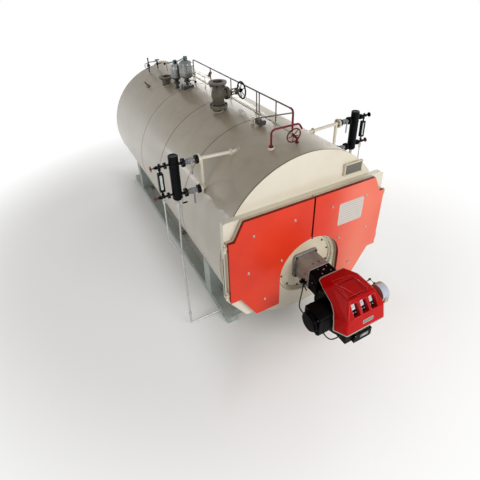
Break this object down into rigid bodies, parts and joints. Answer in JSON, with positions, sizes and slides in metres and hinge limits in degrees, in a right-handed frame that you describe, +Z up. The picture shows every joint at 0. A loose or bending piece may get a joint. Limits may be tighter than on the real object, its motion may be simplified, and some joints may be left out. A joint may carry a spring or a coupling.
{
  "type": "industrial boiler",
  "caption": "Horizontal fire-tube steam boiler with cream cylindrical casing, hinged red front doors, front burner, steam stop valve and side water gauges, on a skid frame.",
  "frame": {"origin": "on the floor under the middle of the casing, at the underside of the middle skid cross member", "axes": "+Z up, +Y along the boiler from the burner to the rear, +X to the right seen from the burner end"},
  "size_m": [3.188, 6.1106, 2.942],
  "materials": {
    "shell_paint": "gloss",
    "door_paint": "satin",
    "hood_paint": "gloss",
    "frame_paint": "satin",
    "bare_steel": "satin",
    "cast_grey": "satin",
    "black_paint": "satin",
    "silver_paint": "satin",
    "dark_red_paint": "satin",
    "rail_paint": "satin",
    "galvanised": "satin",
    "black_rubber": "satin",
    "plate_face": "satin",
    "servo_grey": "satin",
    "rim_grey": "satin"
  },
  "bodies": {
    "root": {"skid_beams": "frame_paint", "skid_cross_members": "frame_paint", "saddles": "frame_paint", "pressure_shell": "bare_steel", "front_tube_plate": "bare_steel", "casing_section_1": "shell_paint", "casing_section_2": "shell_paint", "casing_section_3": "shell_paint", "casing_section_4": "shell_paint", "front_cover_plate": "shell_paint", "rear_cover_plate": "shell_paint", "rear_access_cover": "shell_paint", "flue_outlet": "shell_paint", "smoke_box_frame": "shell_paint", "burner_plate": "shell_paint", "burner_duct": "cast_grey", "burner_body": "black_paint", "burner_motor": "black_paint", "burner_hood": "hood_paint", "burner_hood_rim": "rim_grey", "burner_servo": "servo_grey", "burner_gas_block": "cast_grey", "burner_cables": "black_rubber", "steam_nozzles": "cast_grey", "stop_valve_body": "cast_grey", "stop_valve_bonnet": "cast_grey", "safety_valves": "silver_paint", "vent_pipe": "dark_red_paint", "handrail": "rail_paint", "pressure_switch": "black_paint", "rear_valves": "black_paint", "lifting_lugs": "shell_paint", "gauge_pipes": "shell_paint", "gauge_sets": "black_paint", "drain_pipes": "galvanised", "nameplate": "plate_face"},
    "door_left": {"door_left": "door_paint"},
    "door_right": {"door_right": "door_paint", "instruction_plate": "plate_face"},
    "stop_valve_wheel": {"stop_valve_handwheel": "black_paint"},
    "vent_valve_wheel": {"vent_handwheel": "dark_red_paint"},
    "cock_wheel_left_upper": {"gauge_wheel_left_upper": "dark_red_paint"},
    "cock_wheel_left_lower": {"gauge_wheel_left_lower": "dark_red_paint"},
    "cock_wheel_right_upper": {"gauge_wheel_right_upper": "black_paint"},
    "cock_wheel_right_lower": {"gauge_wheel_right_lower": "dark_red_paint"}
  },
  "joints": [
    {"name": "door_left_hinge", "type": "hinge", "parent": "root", "child": "door_left", "pos_m": [-1.14, -2.571, 1.3], "axis": [0, 0, 1], "range_deg": [-105, 0]},
    {"name": "door_right_hinge", "type": "hinge", "parent": "root", "child": "door_right", "pos_m": [1.14, -2.571, 1.3], "axis": [0, 0, 1], "range_deg": [0, 105]},
    {"name": "stop_valve_stem", "type": "hinge", "parent": "root", "child": "stop_valve_wheel", "pos_m": [0.11, -0.665, 2.6548], "axis": [1, 0, 0], "continuous": true},
    {"name": "vent_valve_stem", "type": "hinge", "parent": "root", "child": "vent_valve_wheel", "pos_m": [-0.03, -2.175, 2.55], "axis": [-0.7071, 0, 0.7071], "continuous": true},
    {"name": "left_upper_cock_stem", "type": "hinge", "parent": "root", "child": "cock_wheel_left_upper", "pos_m": [-1.582, -1.733, 2.341], "axis": [-1, 0, 0], "continuous": true},
    {"name": "left_lower_cock_stem", "type": "hinge", "parent": "root", "child": "cock_wheel_left_lower", "pos_m": [-1.582, -1.733, 1.957], "axis": [-1, 0, 0], "continuous": true},
    {"name": "right_upper_cock_stem", "type": "hinge", "parent": "root", "child": "cock_wheel_right_upper", "pos_m": [1.582, -1.733, 2.341], "axis": [1, 0, 0], "continuous": true},
    {"name": "right_lower_cock_stem", "type": "hinge", "parent": "root", "child": "cock_wheel_right_lower", "pos_m": [1.582, -1.733, 1.957], "axis": [1, 0, 0], "continuous": true}
  ]
}
